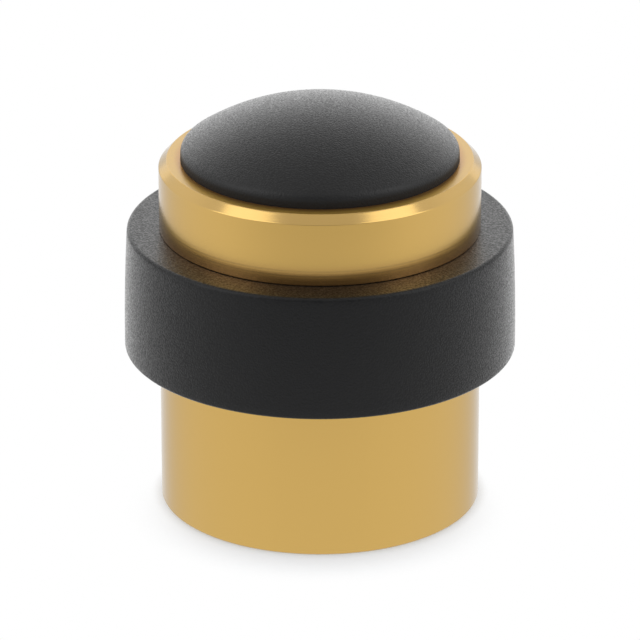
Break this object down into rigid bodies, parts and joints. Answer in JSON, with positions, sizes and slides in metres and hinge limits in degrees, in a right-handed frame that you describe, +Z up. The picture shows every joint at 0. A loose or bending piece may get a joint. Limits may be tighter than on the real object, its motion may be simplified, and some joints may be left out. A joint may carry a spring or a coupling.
{
  "type": "floor door stop",
  "caption": "Floor door stop: a turned satin gold post with a black rubber buffer ring round its middle and a domed rubber cap over its screw hole.",
  "frame": {"origin": "on the floor, at the centre of the post's base", "axes": "+Z up along the post's axis; the part is round, so +X and +Y are free"},
  "size_m": [0.0402, 0.0402, 0.0428],
  "materials": {
    "satin_gold": "fine turned, satin gold, clear lacquered",
    "black_rubber": "moulded, fine spark-eroded grain, satin black"
  },
  "bodies": {
    "root": {"post": "satin_gold", "buffer_ring": "black_rubber", "cap": "black_rubber"}
  },
  "joints": []
}
